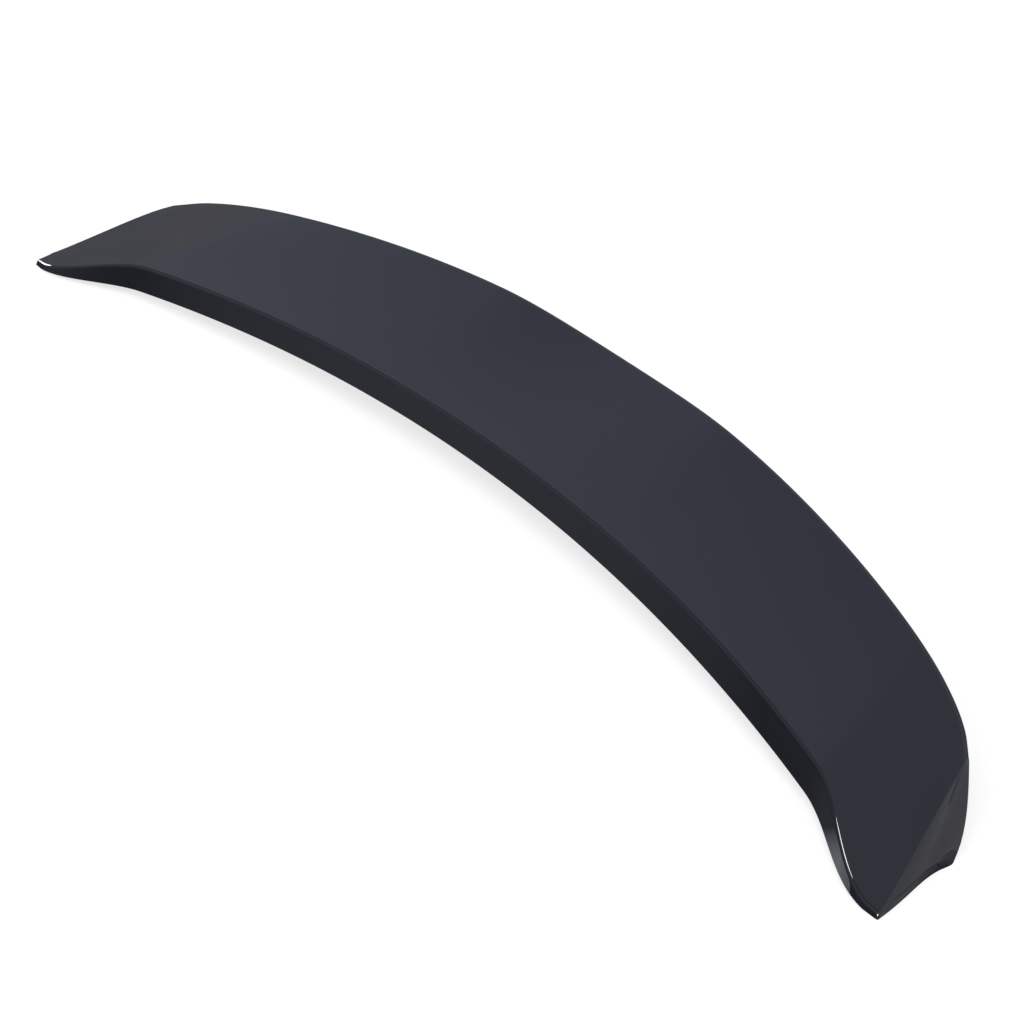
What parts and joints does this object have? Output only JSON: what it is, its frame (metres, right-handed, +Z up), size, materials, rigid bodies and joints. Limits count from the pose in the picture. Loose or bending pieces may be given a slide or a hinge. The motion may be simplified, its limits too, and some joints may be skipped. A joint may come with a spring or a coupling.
{
  "type": "car rear spoiler",
  "caption": "One-piece moulded rear spoiler that stands on a boot lid: low leaning front wall, wide sloped top, raised trailing lip, flat end facets and pointed forward tips.",
  "frame": {"origin": "on the lid plane under the middle of the spoiler's box", "axes": "+X along the span to the right tip, +Y from the front wall to the trailing lip, +Z up from the lid"},
  "size_m": [1.1838, 0.2644, 0.0808],
  "materials": {
    "gloss_black_plastic": "moulded plastic painted gloss black",
    "insert_brass": "plain turned brass"
  },
  "bodies": {
    "root": {"spoiler_shell": "gloss_black_plastic", "mount_inserts": "insert_brass"}
  },
  "joints": []
}
